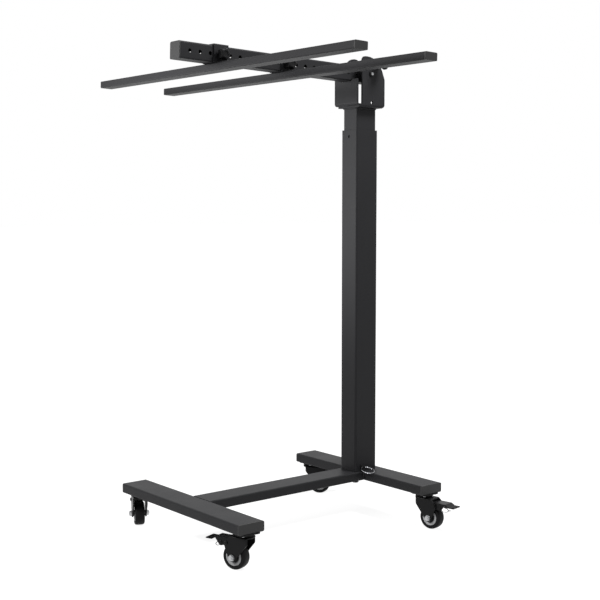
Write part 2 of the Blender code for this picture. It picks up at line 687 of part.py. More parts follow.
def fixture_bar(name, parent):
    z = -ARM_HEIGHT / 2 - GAP - BAR_HEIGHT / 2
    end = BAR_LENGTH / 2
    outer_line = moved(rounded_rect(BAR_DEPTH, BAR_HEIGHT, BAR_RADIUS), 0, z)
    bore_depth = BAR_DEPTH - 2 * BAR_WALL
    bore_height = BAR_HEIGHT - 2 * BAR_WALL
    bore_radius = BAR_RADIUS - BAR_WALL / 2
    inner_line = moved(rounded_rect(bore_depth, bore_height, bore_radius), 0, z)
    plug = moved(rounded_rect(bore_depth - 2 * GAP, bore_height - 2 * GAP, bore_radius), 0, z)
    stop = end - END_CAP - GAP
    piece(name, tube(outer_line, inner_line, -stop, stop, "X"), black_paint, parent)
    for side, s in (("left", -1), ("right", 1)):
        sections = [
            (s * end, outer_line),
            (s * (end - END_CAP), outer_line),
            (s * (end - END_CAP), plug),
            (s * (end - END_CAP - CAP_PLUG), plug),
        ]
        piece(name + "_" + side + "_cap", stepped(sections, "X"), black_plastic, parent)


for label, hole in (("front", FRONT_CLAMP_HOLE), ("rear", REAR_CLAMP_HOLE)):
    slide = empty(label + "_clamp_slide", arm_pivot, (0, -hole * HOLE_PITCH, 0))
    saddle(label + "_clamp", slide)
    fixture_bar(label + "_bar", slide)
    tip = arm_half + GAP
    seat = arm_half + SLIDE_GAP + CLAMP_SHEET + GAP
    turn = empty(label + "_knob_turn", slide, (tip, 0, 0))
    piece(label + "_clamp_knob", clamp_knob(seat - tip), black_plastic, turn)


# Castors: a riveted top plate, a pressed fork that swivels under it, a wheel on a through bolt, and a
# brake pedal on a pin. Each is built with its trail along +X and its swivel axis on Z.

def top_plate(parent):
    under_plate = CASTOR_HEIGHT - PLATE_THICK
    race = under_plate - RACE_HEIGHT
    rivet = race - GAP - FORK_SHEET - GAP
    square = rounded_rect(PLATE_SIZE, PLATE_SIZE, 0.006, 4)
    steps = len(square)
    sections = [
        (CASTOR_HEIGHT, square),
        (under_plate, square),
        (under_plate, circle(RACE_RADIUS, steps)),
        (race + 0.0015, circle(RACE_RADIUS, steps)),
        (race, circle(RACE_RADIUS - 0.002, steps)),
        (race, circle(KINGPIN_RADIUS, steps)),
        (rivet, circle(KINGPIN_RADIUS, steps)),
        (rivet, circle(KINGPIN_HEAD, steps)),
        (rivet - 0.6 * KINGPIN_HEAD_HEIGHT, circle(KINGPIN_HEAD, steps)),
        (rivet - KINGPIN_HEAD_HEIGHT, circle(KINGPIN_RADIUS, steps)),
    ]
    turned = []
    for along, outline in sections:
        start = min(range(steps), key=lambda i: (abs(outline[i][1]) + (outline[i][0] < 0), -outline[i][0]))
        turned.append((along, outline[start:] + outline[:start]))
    return piece(parent.name + "_plate", stepped(turned, "Z"), dark_steel, parent)


def fork(parent):
    """A channel that bridges the wheel, cut to its side view and rounded round the swivel axis."""
    top_z = CASTOR_HEIGHT - PLATE_THICK - RACE_HEIGHT - GAP
    low_z = WHEEL_RADIUS - 0.015
    inside = FORK_INSIDE
    outside = FORK_INSIDE + FORK_SHEET
    bend_z = top_z - FORK_BEND
    bend_y = outside - FORK_BEND
    inner_bend = FORK_BEND - FORK_SHEET
    channel = (
        [(-outside, low_z)] + arc(-bend_y, bend_z, FORK_BEND, 180, 90) + arc(bend_y, bend_z, FORK_BEND, 90, 0)
        + [(outside, low_z), (inside, low_z)]
        + arc(bend_y, bend_z, inner_bend, 0, 90) + arc(-bend_y, bend_z, inner_bend, 90, 180)
        + [(-inside, low_z)]
    )
    swivel = empty(parent.name + "_swivel", parent)
    body = piece(parent.name + "_fork", prism(channel, -0.030, 0.050, "X"), dark_steel, swivel)
    lobe_x, lobe_z = PEDAL_PIVOT
    back = RACE_RADIUS + 0.0005
    outline = (
        arc(TRAIL, WHEEL_RADIUS, 0.0085, 200, 350)
        + arc(lobe_x - 0.001, lobe_z - 0.001, 0.0068, -15, 70)
        + [(TRAIL + 0.004, top_z + 0.002), (-back, top_z + 0.002), (-back, top_z - 0.007)]
    )
    shape(body, "INTERSECT", prism(outline, -0.03, 0.03, "Y"))
    round_back = RACE_RADIUS + 0.0015
    plan = arc(0.0, 0.0, round_back, 90, 270, 10) + [(0.05, -round_back), (0.05, round_back)]
    shape(body, "INTERSECT", prism(plan, 0.0, 0.1, "Z"))
    holes = [
        rod(KINGPIN_RADIUS + GAP, top_z - 0.01, top_z + 0.01, "Z"),
        rod(AXLE_RADIUS + GAP, -0.03, 0.03, "Y", (TRAIL, WHEEL_RADIUS), 10),
        rod(PEDAL_PIN + GAP, -0.03, 0.03, "Y", PEDAL_PIVOT, 10),
    ]
    shape(body, "DIFFERENCE", merged(*holes))
    return swivel


def axle(swivel, name):
    """A through bolt with a washer and a nut at each leg."""
    y = FORK_INSIDE + FORK_SHEET + GAP
    at = (TRAIL, WHEEL_RADIUS)
    washer = 0.0009
    nut = washer + 0.0039
    sections = []
    for s in (-1, 1):
        ends = [
            (s * (y + nut + 0.001), moved(circle(AXLE_RADIUS), *at)),
            (s * (y + nut), moved(circle(AXLE_RADIUS), *at)),
            (s * (y + nut), moved(hexagon(AXLE_NUT - 0.001), *at)),
            (s * (y + nut - 0.0005), moved(hexagon(AXLE_NUT), *at)),
            (s * (y + washer), moved(hexagon(AXLE_NUT), *at)),
            (s * (y + washer), moved(circle(0.0062), *at)),
            (s * y, moved(circle(0.0062), *at)),
            (s * y, moved(circle(AXLE_RADIUS), *at)),
        ]
        sections += ends if s < 0 else ends[::-1]
    return piece(name + "_axle", stepped(sections, "Y"), zinc, swivel, (TRAIL, 0, WHEEL_RADIUS))


def wheel(swivel, name):
    """A dished rim with its hub between the legs, and the tyre round it."""
    hub_face = FORK_INSIDE - GAP
    rim = WHEEL_RADIUS - TYRE_DEPTH
    half_width = TYRE_WIDTH / 2
    dish = half_width - 0.0045
    side = [
        (AXLE_RADIUS + GAP, hub_face), (0.0060, hub_face), (0.0070, dish), (rim - 0.0062, dish),
        (rim - 0.0046, half_width), (rim - GAP, half_width),
    ]
    profile = side + [(r, -y) for r, y in side[::-1]]
    spin = (TRAIL, 0, WHEEL_RADIUS)
    roll = empty(name + "_roll", swivel, spin)
    piece(name + "_wheel", lathe(profile, "Y", 20), grey_plastic, roll)
    shoulder = [
        (rim, half_width - 0.0003), (WHEEL_RADIUS - 0.0024, half_width),
        (WHEEL_RADIUS - 0.0007, half_width - 0.0014), (WHEEL_RADIUS, half_width - 0.0045),
    ]
    profile = shoulder + [(r, -y) for r, y in shoulder[::-1]]
    piece(name + "_tyre", lathe(profile, "Y", 32), tread, roll)


def pedal(swivel, name):
    """Two cheeks under a tread plate, on a pin through the fork, and a shoe bent down towards the tyre."""
    px, pz = PEDAL_PIVOT
    w = FORK_INSIDE - GAP
    t = PEDAL_SHEET
    roof = pz + PEDAL_RISE
    low = pz - 0.02
    press = empty(name + "_press", swivel, (px, 0, pz))
    to_pin = (-px, 0.0, -pz)
    channel = [
        (-w, low), (-w, roof), (w, roof), (w, low),
        (w - t, low), (w - t, roof - t), (-w + t, roof - t), (-w + t, low),
    ]
    body = piece(name + "_pedal", put(prism(channel, px - 0.012, PEDAL_TIP, "X"), *to_pin), dark_steel, press)
    step_x = PEDAL_TIP - 0.022
    cheek = (
        [(px - 0.0055, roof + 0.001), (px - 0.0055, pz - 0.001)]
        + arc(px, pz, 0.0055, 200, 290)
        + arc(px + 0.014, pz - 0.0015, 0.0065, 260, 340)
        + [(step_x, roof - t - 0.0005), (step_x + 0.001, roof - t + 0.0004), (step_x + 0.001, roof + 0.001)]
    )
    shape(body, "INTERSECT", put(prism(cheek, -0.03, 0.03, "Y"), *to_pin))
    drop = 0.0045
    tread_side = [
        (step_x - 0.004, roof - t), (step_x, roof - t), (step_x + 0.008, roof - t - drop),
        (PEDAL_TIP, roof - t - drop), (PEDAL_TIP, roof - drop), (step_x + 0.009, roof - drop),
        (step_x + 0.001, roof), (step_x - 0.004, roof),
    ]
    shape(body, "UNION", put(prism(tread_side, -w, w, "Y"), *to_pin))

    reach = WHEEL_RADIUS + SHOE_GAP
    shoe_x = TRAIL + reach * cos(SHOE_ANGLE)
    shoe_z = WHEEL_RADIUS + reach * sin(SHOE_ANGLE)
    strap_x = shoe_x + 0.0045
    shoe = [
        (shoe_x, shoe_z), (shoe_x + 0.0014, shoe_z - 0.0014), (strap_x + t, shoe_z + 0.0036),
        (strap_x + t, roof - t / 2), (strap_x, roof - t / 2), (strap_x, shoe_z + 0.0045),
    ]
    shape(body, "UNION", put(prism(shoe, -0.8 * w, 0.8 * w, "Y"), *to_pin))

    def headed_pin(out):
        sections = []
        for s in (-1, 1):
            ends = [
                (s * (out + 0.0020), circle(PEDAL_PIN, 10)),
                (s * (out + 0.0010), circle(PEDAL_PIN + 0.0012, 10)),
                (s * out, circle(PEDAL_PIN + 0.0012, 10)),
                (s * out, circle(PEDAL_PIN, 10)),
            ]
            sections += ends if s < 0 else ends[::-1]
        return stepped(sections, "Y")

    shape(body, "UNION", headed_pin(FORK_INSIDE + FORK_SHEET + GAP))
    shape(body, "UNION", put(headed_pin(w - 0.0001), 0.0145, 0.0, -0.0015))
    return body


half_span = CROSSBAR_LENGTH / 2 - CASTOR_INSET
for label, heading in HEADINGS.items():
    row, side = label.split("_")
    x = half_span if side == "right" else -half_span
    y = -FRONT_REACH if row == "front" else REAR_REACH
    castor = empty(label, stand, (x, y, 0))
    top_plate(castor)
    swivel = fork(castor)
    swivel.rotation_euler = (0, 0, radians(heading))
    axle(swivel, label)
    wheel(swivel, label)
    pedal(swivel, label)


# Stand the finished part on the origin, with the middle of its box on the Z axis.

bpy.context.view_layer.update()
shown = [ob for ob in bpy.data.objects if ob.type == "MESH" and not ob.hide_render]
corners = [ob.matrix_world @ v.co for ob in shown for v in ob.data.vertices]
middle_x = (min(p.x for p in corners) + max(p.x for p in corners)) / 2
middle_y = (min(p.y for p in corners) + max(p.y for p in corners)) / 2
lowest = min(p.z for p in corners)
stand.location = (-middle_x, -middle_y, -lowest)
bpy.context.view_layer.update()
print("moved by", [round(v, 6) for v in stand.location])
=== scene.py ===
"""Looks of a rolling light stand: a telescopic column on a castored base, with a drilled arm on top that
carries two fixture bars. Metres, Z up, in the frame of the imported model.
"""

from math import atan2, cos, pi, radians, sin

import bpy
import numpy as np
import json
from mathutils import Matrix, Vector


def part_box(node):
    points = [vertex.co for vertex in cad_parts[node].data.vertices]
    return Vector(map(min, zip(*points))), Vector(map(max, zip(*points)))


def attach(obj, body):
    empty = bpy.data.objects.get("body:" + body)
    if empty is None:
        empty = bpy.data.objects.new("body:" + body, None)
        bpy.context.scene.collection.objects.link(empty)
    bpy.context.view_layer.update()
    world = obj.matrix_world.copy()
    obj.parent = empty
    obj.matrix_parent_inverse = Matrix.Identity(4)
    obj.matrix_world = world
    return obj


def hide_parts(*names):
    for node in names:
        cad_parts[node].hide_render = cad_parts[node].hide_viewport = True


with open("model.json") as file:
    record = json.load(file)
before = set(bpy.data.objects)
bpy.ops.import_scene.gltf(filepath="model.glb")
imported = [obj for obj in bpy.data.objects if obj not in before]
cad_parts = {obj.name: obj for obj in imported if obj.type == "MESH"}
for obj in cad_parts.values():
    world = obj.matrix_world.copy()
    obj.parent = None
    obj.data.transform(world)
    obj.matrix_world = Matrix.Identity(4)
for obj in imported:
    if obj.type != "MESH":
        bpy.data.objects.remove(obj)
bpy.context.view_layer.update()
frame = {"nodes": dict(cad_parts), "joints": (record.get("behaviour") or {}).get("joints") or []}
nodes = frame["nodes"]


# Base: two crossbars and a centre beam of 60 x 20 mm steel tube, welded in an H and powder coated.
# The CAD nodes carry the shapes, and only the coat and the weld beads are added. The column, arm, bars,
# bracket and saddles have the same coat.

def linear(colour):
    """sRGB hex to linear RGBA: a channel under 0.04045 over 12.92, else ((c + 0.055) / 1.055) to the 2.4."""
    channels = [int(colour[i:i + 2], 16) / 255 for i in (1, 3, 5)]
    return [c / 12.92 if c <= 0.04045 else ((c + 0.055) / 1.055) ** 2.4 for c in channels] + [1.0]


def add(material, kind, settings=(), links=()):
    """Add a shader node, set its fields and its sockets, and link (socket, node, its output) triples. A
    socket goes by its name, or by its number where two have the same name."""
    made = material.node_tree.nodes.new(kind)
    for key, value in dict(settings).items():
        if isinstance(key, int) or key in made.inputs:
            made.inputs[key].default_value = value
        else:
            setattr(made, key, value)
    for socket, source, output in links:
        material.node_tree.links.new(source.outputs[output], made.inputs[socket])
    return made


def new_material(name):
    """A new material and its Principled shader."""
    material = bpy.data.materials.new(name)
    material.use_nodes = True
    return material, material.node_tree.nodes["Principled BSDF"]


def two_tones(material, shader, place, colour, other_colour, patch, detail, smoothest, roughest):
    """Soft patches of one size mix two colours and move the roughness between two values. A Mix node's
    sockets 6 and 7 are its two colours, and its output 2 is the mixed one."""
    clouds = add(material, "ShaderNodeTexNoise", {"Scale": 1 / patch, "Detail": detail},
                 [("Vector", place, "Object")])
    tone = add(material, "ShaderNodeMix",
               {"data_type": "RGBA", 6: linear(colour), 7: linear(other_colour)}, [("Factor", clouds, "Fac")])
    rough = add(material, "ShaderNodeMapRange", {"To Min": smoothest, "To Max": roughest},
                [("Value", clouds, "Fac")])
    material.node_tree.links.new(tone.outputs[2], shader.inputs["Base Color"])
    material.node_tree.links.new(rough.outputs["Result"], shader.inputs["Roughness"])


def coat(name, colour, light_colour, roughness, gloss, grain, patch, depth, edge):
    """A coat on metal or the skin of a moulding: two tones in soft patches, a fine grain in the bump and
    an edge rounded by the Bevel node. grain, patch, depth and edge are in metres."""
    wander = 0.06
    material, shader = new_material(name)
    place = add(material, "ShaderNodeTexCoord")
    two_tones(material, shader, place, colour, light_colour, patch, 3.0,
              roughness - wander, roughness + wander)
    fine = add(material, "ShaderNodeTexNoise", {"Scale": 1 / grain, "Detail": 2.0, "Roughness": 0.6},
               [("Vector", place, "Object")])
    soft_edge = add(material, "ShaderNodeBevel", {"samples": 4, "Radius": edge})
    bump = add(material, "ShaderNodeBump", {"Strength": 1.0, "Distance": depth},
               [("Height", fine, "Fac"), ("Normal", soft_edge, "Normal")])
    material.node_tree.links.new(bump.outputs["Normal"], shader.inputs["Normal"])
    shader.inputs["Specular IOR Level"].default_value = gloss
    return material


def wear(names, material):
    """Give CAD nodes a material in place of the one they were packed with."""
    for name in names:
        nodes[name].data.materials.clear()
        nodes[name].data.materials.append(material)


# Textured epoxy-polyester powder coat, baked on: a dry satin black whose grit breaks up the highlight.
# The real grit is 0.3 mm, too fine to show at this size, so it is drawn at 0.9 mm.
powder_coat = coat("powder coat, fine texture", "#28282a", "#2f2f31", roughness=0.50, gloss=0.14,
                   grain=0.0009, patch=0.06, depth=0.00006, edge=0.0006)
wear(["front_crossbar", "rear_crossbar", "centre_beam"], powder_coat)


def skin(name, rows, body, material, ring=False, sharp=35):
    """A surface through closed rows of points: quads join each point to the next in its row and to its like
    in the next row. ring joins the last row to the first, and otherwise a fan of triangles closes each end.
    The faces are turned round where the sum of a . (b x c) over all triangles, six volumes, is negative.
    Edges bent by more than sharp degrees stay sharp."""
    rows = np.asarray(rows, float)
    count, across = rows.shape[:2]
    index = np.arange(count * across).reshape(count, across)
    low = index if ring else index[:-1]
    high = np.roll(index, -1, 0) if ring else index[1:]
    quads = np.stack([low, np.roll(low, -1, 1), np.roll(high, -1, 1), high], -1).reshape(-1, 4)
    points = rows.reshape(-1, 3)
    triangles = np.vstack([quads[:, (0, 1, 2)], quads[:, (0, 2, 3)]])
    faces = quads.tolist()
    if not ring:
        points = np.vstack([points, rows[0].mean(0), rows[-1].mean(0)])
        first, last = index[0], index[-1]
        middle = np.full(across, count * across)
        fans = np.vstack([np.stack([np.roll(first, -1), first, middle], -1),
                          np.stack([last, np.roll(last, -1), middle + 1], -1)])
        triangles = np.vstack([triangles, fans])
        faces += fans.tolist()
    a, b, c = points[triangles].swapaxes(0, 1)
    if (a * np.cross(b, c)).sum() < 0:
        faces = [face[::-1] for face in faces]
    mesh = bpy.data.meshes.new(name)
    mesh.from_pydata(points.tolist(), [], faces)
    mesh.validate()
    mesh.shade_smooth()
    mesh.set_sharp_from_angle(angle=radians(sharp))
    mesh.materials.append(material)
    piece = bpy.data.objects.new(name, mesh)
    bpy.context.scene.collection.objects.link(piece)
    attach(piece, body)
    return piece


def along_path(path, radius, around=10, closed=False):
    """Circles of a radius, one number or one per point, square to a path. The first circle's axes are
    carried from point to point by dropping their part along the path."""
    steep = 0.9
    path = np.asarray(path, float)
    step = np.roll(path, -1, 0) - np.roll(path, 1, 0) if closed else np.gradient(path, axis=0)
    step /= np.linalg.norm(step, axis=1)[:, None]
    side = np.cross(step[0], (0, 0, 1) if abs(step[0][2]) < steep else (1, 0, 0))
    sides = []
    for forward in step:
        side = side - forward * side.dot(forward)
        side /= np.linalg.norm(side)
        sides.append(side)
    sides = np.array(sides)
    ups = np.cross(step, sides)
    turn = np.linspace(0, 2 * pi, around, endpoint=False)
    size = np.broadcast_to(np.asarray(radius, float), (len(path),))[:, None, None]
    return path[:, None] + size * (np.cos(turn)[None, :, None] * sides[:, None]
                                   + np.sin(turn)[None, :, None] * ups[:, None])


def weld(name, path, radius, body, closed=False):
    """A fillet weld along a seam: at the length s its radius is r (1 + depth sin(2 pi s / pitch)), and it is
    drawn in at open ends."""
    pitch = 0.0022
    depth = 0.10
    end_share = 0.3
    path = np.asarray(path, float)
    run = np.concatenate([[0], np.cumsum(np.linalg.norm(np.diff(path, axis=0), axis=1))])
    size = radius * (1 + depth * np.sin(2 * pi * run / pitch))
    if not closed:
        size[0] = size[-1] = radius * end_share
    return skin(name, along_path(path, size, closed=closed), body, powder_coat, ring=closed)


beam_low, beam_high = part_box("centre_beam")
beam_weld_radius = 0.0022
beam_weld_sunk = 0.0006      # how far the bead's middle lies inside the beam's end
beam_corner = 0.003          # the tube's round corners, which the beads leave out
beam_weld_steps = 40
for end, y, inward in (("front", beam_low.y, 1), ("rear", beam_high.y, -1)):
    for side, x in (("left", beam_low.x), ("right", beam_high.x)):
        heights = np.linspace(beam_low.z + beam_corner, beam_high.z - beam_corner, beam_weld_steps)
        seam = np.stack([np.full(beam_weld_steps, x),
                         np.full(beam_weld_steps, y + inward * beam_weld_sunk), heights], -1)
        weld(f"{end}_{side}_beam_weld", seam, beam_weld_radius, "base")


# End plugs of the tubes: black polypropylene mouldings pushed into the open ends, flush outside.
# The arm's cap and the spacer on the pivot pin are of the same moulding stock.

# Moulded polypropylene: a plain satin black with the faint grain of an etched mould, drawn at 0.7 mm.
black_moulding = coat("polypropylene, moulded black", "#1c1c1d", "#232324", roughness=0.5, gloss=0.4,
                      grain=0.0007, patch=0.02, depth=0.00003, edge=0.0004)
wear(["front_left_base_cap", "front_right_base_cap", "rear_left_base_cap", "rear_right_base_cap", "arm_cap",
      "front_bar_left_cap", "front_bar_right_cap", "rear_bar_left_cap", "rear_bar_right_cap", "arm_spacer"],
     black_moulding)


# Column: a 62 x 50 mm tube over a foot bolted to the base, with a guide collar in its top and the
# inner tube sliding in that. The foot and its bolts are coated steel, the collar and the glide are acetal.

wear(["outer_column", "inner_column"], powder_coat)
# Electro-coated steel: a thin, smooth black paint that is darker than the powder coat, with a faint orange
# peel about 1.2 mm wide.
black_steel = coat("electro-coated steel", "#171718", "#1e1e1f", roughness=0.36, gloss=0.12,
                   grain=0.0012, patch=0.03, depth=0.00002, edge=0.0005)
wear(["column_foot", "foot_bolt_left", "foot_bolt_right", "height_lock_screw"], black_steel)
# Turned acetal: a waxy dark grey. Its fine turning marks are drawn as a 0.8 mm grain.
acetal = coat("acetal bush", "#2c2c2c", "#333333", roughness=0.45, gloss=0.45,
              grain=0.0008, patch=0.02, depth=0.00002, edge=0.0003)
wear(["guide_collar", "lower_glide"], acetal)


# Lock pin in the column's side, turned from steel and coated black, with the ring that pulls it.
# The ring is 2 mm spring wire, bent round, closed and chromed.

def metal(name, colour, dull_colour, roughness, wander, patch):
    """Plated metal: two tones by patches, and a roughness that wanders up from its lowest value."""
    material, shader = new_material(name)
    shader.inputs["Metallic"].default_value = 1.0
    place = add(material, "ShaderNodeTexCoord")
    two_tones(material, shader, place, colour, dull_colour, patch, 4.0, roughness, roughness + wander)
    return material


# Bright zinc plate over turned or rolled steel: pale, slightly cloudy, with a soft highlight.
zinc = metal("zinc plate", "#bcbdbe", "#9c9d9f", roughness=0.3, wander=0.15, patch=0.004)
# Chrome on wire: a hard bright highlight with the surroundings mirrored in it.
chrome = metal("chromed wire", "#b3b4b7", "#97989b", roughness=0.18, wander=0.08, patch=0.006)
wear(["lock_pin"], black_steel)

joints = {joint["name"]: joint for joint in frame["joints"]}
wire_radius = 0.001
ring_steps = 96
ring_low, ring_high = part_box("pull_ring")
ring_eye = np.array(joints["ring_swing"]["pos_m"])
ring_middle = (np.array(ring_low) + np.array(ring_high)) / 2
ring_out = (ring_middle - ring_eye) / np.linalg.norm(ring_middle - ring_eye)
ring_across = np.array((0, 1, 0))
ring_radius = (ring_high.y - ring_low.y) / 2 - wire_radius
ring_turn = np.linspace(0, 2 * pi, ring_steps, endpoint=False)[:, None]
ring_circle = ring_middle + ring_radius * (np.cos(ring_turn) * ring_out + np.sin(ring_turn) * ring_across)
ring_wire = along_path(ring_circle, wire_radius, around=12, closed=True)
ring = skin("pull_ring_wire", ring_wire, "pull_ring", chrome, ring=True)
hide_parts("pull_ring")


# Tilt bracket on the inner tube: 4 mm plate, laser cut and bent, welded on and powder coated.
# Beads run round the top of the inner tube and along both sides of the far ear's foot. A steel pin, coated
# black, carries the arm between the ears, and the bolt above the arm clamps it.

wear(["tilt_bracket"], powder_coat)
wear(["pivot_pin", "clamp_bolt"], black_steel)
tube_low, tube_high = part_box("inner_column")


def rounded_loop(low, high, radius, z, steps=10, straight=26):
    """A level rectangle with round corners: quarter circles of so many steps, joined by straight runs."""
    corners = []
    for x, y, start in ((high.x - radius, high.y - radius, 0), (low.x + radius, high.y - radius, 90),
                        (low.x + radius, low.y + radius, 180), (high.x - radius, low.y + radius, 270)):
        angle = np.radians(np.linspace(start, start + 90, steps))
        corners.append(np.stack([x + radius * np.cos(angle), y + radius * np.sin(angle)], -1))
    outline = []
    for corner, following in zip(corners, corners[1:] + corners[:1]):
        share = np.linspace(0, 1, straight)[1:-1, None]
        outline.append(corner)
        outline.append(corner[-1] * (1 - share) + following[0] * share)
    flat = np.vstack(outline)
    return np.column_stack([flat, np.full(len(flat), z)])


tube_corner = 0.003
tube_weld_radius = 0.0021
tube_weld_drop = 0.0004      # from the top of the tube down to the bead's middle
weld("bracket_weld", rounded_loop(tube_low, tube_high, tube_corner, tube_high.z - tube_weld_drop),
     tube_weld_radius, "mast", closed=True)

ear_outer_face = -0.0213     # across the stand
ear_inner_face = -0.0173
ear_front = -0.0255          # along Y from the tube's middle
ear_back = 0.0115
floor_top = 0.9009
ear_weld_radius = 0.0017
ear_weld_steps = 60
ear_foot = (tube_low.y + tube_high.y) / 2 + np.linspace(ear_front, ear_back, ear_weld_steps)
for side, x in (("outer", ear_outer_face), ("inner", ear_inner_face)):
    seam = np.stack([np.full(ear_weld_steps, x), ear_foot, np.full(ear_weld_steps, floor_top)], -1)
    weld(f"ear_{side}_weld", seam, ear_weld_radius, "mast")


# Arm: a 34 x 34 mm tube with a row of 8 mm holes, powder coated after drilling.
# It turns on the pin in the bracket, and the two saddles slide on it with a bar under each.

wear(["arm", "front_clamp", "rear_clamp", "front_bar", "rear_bar"], powder_coat)


# Star knobs: glass-filled nylon, five lobes, 26 mm across and 13 mm thick, moulded on a zinc-plated screw.
# One on each saddle, and one with a longer stem on the clamp bolt. The head is drawn in towards its face,
# with a shallow dish in the middle.

# Glass-filled nylon: nearly black, with a low sheen. The fibres' faint grain is drawn at 0.6 mm.
nylon = coat("glass-filled nylon, moulded black", "#131314", "#19191a", roughness=0.42, gloss=0.12,
             grain=0.0006, patch=0.01, depth=0.00003, edge=0.0004)
lobes = 5
lobe_depth = 0.12            # share of the radius between a lobe's tip and the middle of its valley
knob_radius = 0.013
knob_thick = 0.013
clamp_stem = 0.003
bolt_stem = 0.016
knob_screw_radius = 0.004


def knob_thread(name, start, length, body):
    """A screw along +X: circles whose radius falls and rises by thread_depth once in each thread_pitch, with
    a chamfered tip."""
    thread_pitch = 0.00125
    thread_depth = 0.0003
    chamfer_long = 0.0008
    chamfer_deep = 0.0009
    into_knob = 0.0001
    steps = 60
    around = 32
    along = np.linspace(chamfer_long, length + into_knob, steps)
    crest = knob_screw_radius - thread_depth * (0.5 + 0.5 * np.cos(2 * pi * along / thread_pitch))
    along = np.concatenate([[0], along])[:, None]
    radius = np.concatenate([[knob_screw_radius - chamfer_deep], crest])[:, None]
    turn = np.linspace(0, 2 * pi, around, endpoint=False)
    rows = np.stack([np.broadcast_to(along, (steps + 1, around)), radius * np.cos(turn),
                     radius * np.sin(turn)], -1)
    skin(name, rows + np.array(start), body, zinc)


def star_knob(name, start, body, node, stem, screw_length):
    """A knob along +X from a start point, in rows of (place, size, share of star). A full star's radius at
    the angle a is size (1 - depth + depth cos 5a), and a share of 0 is a circle."""
    around = 120
    angle = np.linspace(0, 2 * pi, around, endpoint=False)
    wave = 1 - lobe_depth + lobe_depth * np.cos(lobes * angle)
    foot = screw_length
    head = foot + stem
    top = head + knob_thick
    rim = knob_radius
    profile = [
        (foot, 0.0050, 0), (foot, 0.0072, 0), (foot + 0.0004, 0.0075, 0), (head - 0.0006, 0.0075, 0),
        (head, 0.0083, 0.3), (head + 0.0003, rim - 0.0016, 1), (head + 0.0009, rim - 0.0007, 1),
        (head + 0.0020, rim - 0.0002, 1), (head + 0.0034, rim, 1), (top - 0.0042, rim, 1),
        (top - 0.0026, rim - 0.0003, 1), (top - 0.0013, rim - 0.0011, 1),
        (top - 0.0005, rim - 0.0022, 0.9), (top, rim - 0.0040, 0.6), (top, 0.0058, 0),
        (top - 0.0010, 0.0052, 0), (top - 0.0012, 0.0030, 0), (top - 0.0012, 0.0008, 0),
    ]
    along, size, starred = np.array(profile).T[:, :, None]
    radius = size * (1 - starred + starred * wave)
    rows = np.stack([np.broadcast_to(along, radius.shape), radius * np.cos(angle),
                     radius * np.sin(angle)], -1)
    knob = skin(name, rows + np.array(start), body, nylon, sharp=50)
    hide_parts(node)
    if screw_length > 0:
        knob_thread(name + "_screw", start, screw_length, body)


for where in ("front", "rear"):
    clamp_knob = where + "_clamp_knob"
    knob_low, knob_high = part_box(clamp_knob)
    star_knob(clamp_knob + "_head", joints[where + "_knob_turn"]["pos_m"], clamp_knob, clamp_knob, clamp_stem,
              knob_high.x - knob_low.x - clamp_stem - knob_thick)
# The third knob sits on the clamp bolt and has no screw of its own.
bolt = joints["tilt_knob_turn"]["pos_m"]
knob_low, knob_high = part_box("tilt_knob")
star_knob("tilt_knob_head", (knob_low.x, bolt[1], bolt[2]), "tilt_knob", "tilt_knob", bolt_stem,
          screw_length=0.0)


# Pivot screw: the zinc-plated screw that holds the pivot pin, in the middle of the pin's head.
# It and the castors' screws and rivets have the same low domed head.

def headed(name, foot, out, radius, height, body):
    """A domed head: circles along a unit direction from its foot, drawn in as they rise."""
    rise = np.array((0.0, 0.5, 0.8, 0.95, 1.0)) * height
    size = np.array((1.0, 0.96, 0.78, 0.52, 0.30)) * radius
    path = np.asarray(foot, float) + rise[:, None] * np.asarray(out, float)
    skin(name, along_path(path, size, around=20), body, zinc)


pivot = joints["arm_tilt"]["pos_m"]
pin_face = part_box("pivot_pin")[1].x
sunk = 0.0001
headed("pivot_screw_end", (pin_face - sunk, pivot[1], pivot[2]), (1, 0, 0), radius=0.0030, height=0.0010,
       body="mast")


# Castors: a pressed and electro-coated plate, fork and pedal, a zinc-plated axle bolt, and a grey nylon
# wheel with a black hub and a cast-on tyre. Rounder wheels and tyres replace the CAD ones, and the
# screws, rivets, ridges and brake spring are added.

# Moulded nylon: a clean light grey with an even sheen. The mould's grain is drawn at 0.6 mm here and on the
# hub, and the tyre's at 1.1 mm, all coarser than the real ones.
wheel_grey = coat("nylon, moulded light grey", "#dcdddf", "#e6e7e8", roughness=0.4, gloss=0.5,
                  grain=0.0006, patch=0.008, depth=0.00002, edge=0.0003)
# Moulded hub cap: black, so that the bearing ring only shows as a soft line.
hub_black = coat("hub cap, moulded black", "#161617", "#1c1c1d", roughness=0.40, gloss=0.2,
                 grain=0.0006, patch=0.008, depth=0.00002, edge=0.0003)
# Polyurethane cast round the wheel: an even dull black with almost no highlight.
tread = coat("polyurethane tyre, black", "#171718", "#1d1d1e", roughness=0.55, gloss=0.12,
             grain=0.0011, patch=0.012, depth=0.00004, edge=0.0004)


def turned(axis_point, heading, half_profile):
    """A profile of (radius, along) pairs and its mirror image, turned about a level axis that points to
    heading + 90 degrees: point + r (cos a forward + sin a up) + along axle."""
    steps = 96
    profile = half_profile + [(r, -along) for r, along in half_profile[::-1]]
    r, along = np.array(profile).T[:, :, None, None]
    forward = np.array((cos(heading), sin(heading), 0))
    axle = np.array((-sin(heading), cos(heading), 0))
    up = np.array((0, 0, 1))
    turn = np.linspace(0, 2 * pi, steps, endpoint=False)[:, None]
    return np.array(axis_point) + r * (np.cos(turn) * forward + np.sin(turn) * up) + along * axle


